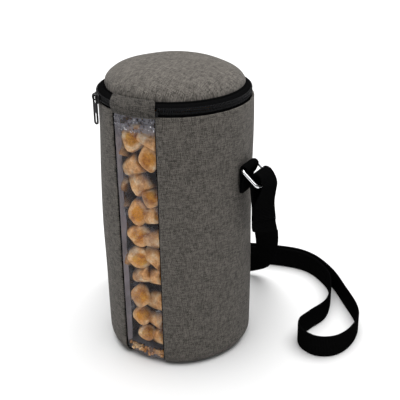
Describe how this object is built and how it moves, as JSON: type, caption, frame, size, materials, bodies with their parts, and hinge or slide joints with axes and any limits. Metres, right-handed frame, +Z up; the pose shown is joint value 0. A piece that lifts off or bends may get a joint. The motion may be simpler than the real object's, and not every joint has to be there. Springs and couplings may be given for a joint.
{
  "type": "treat pouch",
  "caption": "Tall cylindrical fabric treat pouch with a domed zip lid on a fabric hinge, a clear front window and a webbing strap on side rings.",
  "frame": {"origin": "middle of the flat base, on the surface that the pouch stands on", "axes": "+Z up along the pouch; the window and the lid's fabric hinge face -Y; the right ring is at +X"},
  "size_m": [0.2481, 0.2175, 0.247],
  "materials": {
    "grey_fabric": "matt melange woven polyester",
    "foam": "matt padding",
    "lining": "smooth wipe-clean",
    "film": "clear gloss film",
    "black_tape": "matt woven tape",
    "zip_coil": "satin nylon coil",
    "board": "plain stiffener",
    "slider_metal": "black enamel",
    "chrome": "polished",
    "webbing": "matt ribbed webbing",
    "biscuit": "matt baked crust of the contents that the visual model shows"
  },
  "bodies": {
    "root": {"wall_panel": "grey_fabric", "wall_foam": "foam", "wall_lining": "lining", "window_film": "film", "window_binding_left": "black_tape", "window_binding_right": "black_tape", "base_panel": "grey_fabric", "base_board": "board", "base_lining": "lining", "mouth_binding": "black_tape", "zip_tape_lower": "black_tape", "zip_coil_lower": "zip_coil", "zip_stop_start": "zip_coil", "zip_stop_end": "zip_coil", "hinge_patch_lower": "grey_fabric", "strap_tab_right": "webbing", "strap_tab_left": "webbing", "strap": "webbing"},
    "lid": {"lid_panel": "grey_fabric", "lid_foam": "foam", "lid_lining": "lining", "lid_binding": "black_tape", "zip_tape_upper": "black_tape", "zip_coil_upper": "zip_coil", "hinge_patch_upper": "grey_fabric"},
    "slider": {"slider_body": "slider_metal"},
    "pull": {"slider_pull": "slider_metal"},
    "right_ring": {"ring_right": "chrome", "strap_loop_right": "webbing"},
    "left_ring": {"ring_left": "chrome", "strap_loop_left": "webbing"}
  },
  "joints": [
    {"name": "lid_hinge", "type": "hinge", "parent": "root", "child": "lid", "pos_m": [0, -0.0637, 0.2223], "axis": [1, 0, 0], "range_deg": [0, 120]},
    {"name": "slider_travel", "type": "hinge", "parent": "root", "child": "slider", "pos_m": [0, 0, 0.2223], "axis": [0, 0, -1], "range_deg": [0, 296]},
    {"name": "pull_swing", "type": "hinge", "parent": "slider", "child": "pull", "pos_m": [-0.04014, -0.05138, 0.2246], "axis": [-0.788, 0.6157, 0], "range_deg": [0, 150]},
    {"name": "ring_swing_right", "type": "hinge", "parent": "root", "child": "right_ring", "pos_m": [0.067, 0, 0.168], "axis": [0, -1, 0], "range_deg": [-12, 30], "deforming": ["strap"]},
    {"name": "ring_swing_left", "type": "hinge", "parent": "root", "child": "left_ring", "pos_m": [-0.06635, 0.00932, 0.168], "axis": [0.1392, 0.9903, 0], "range_deg": [0, 30], "deforming": ["strap"]}
  ],
  "couplings": [
    {"joint": "slider_travel", "follows": "lid_hinge", "ratio": 2.4665}
  ]
}
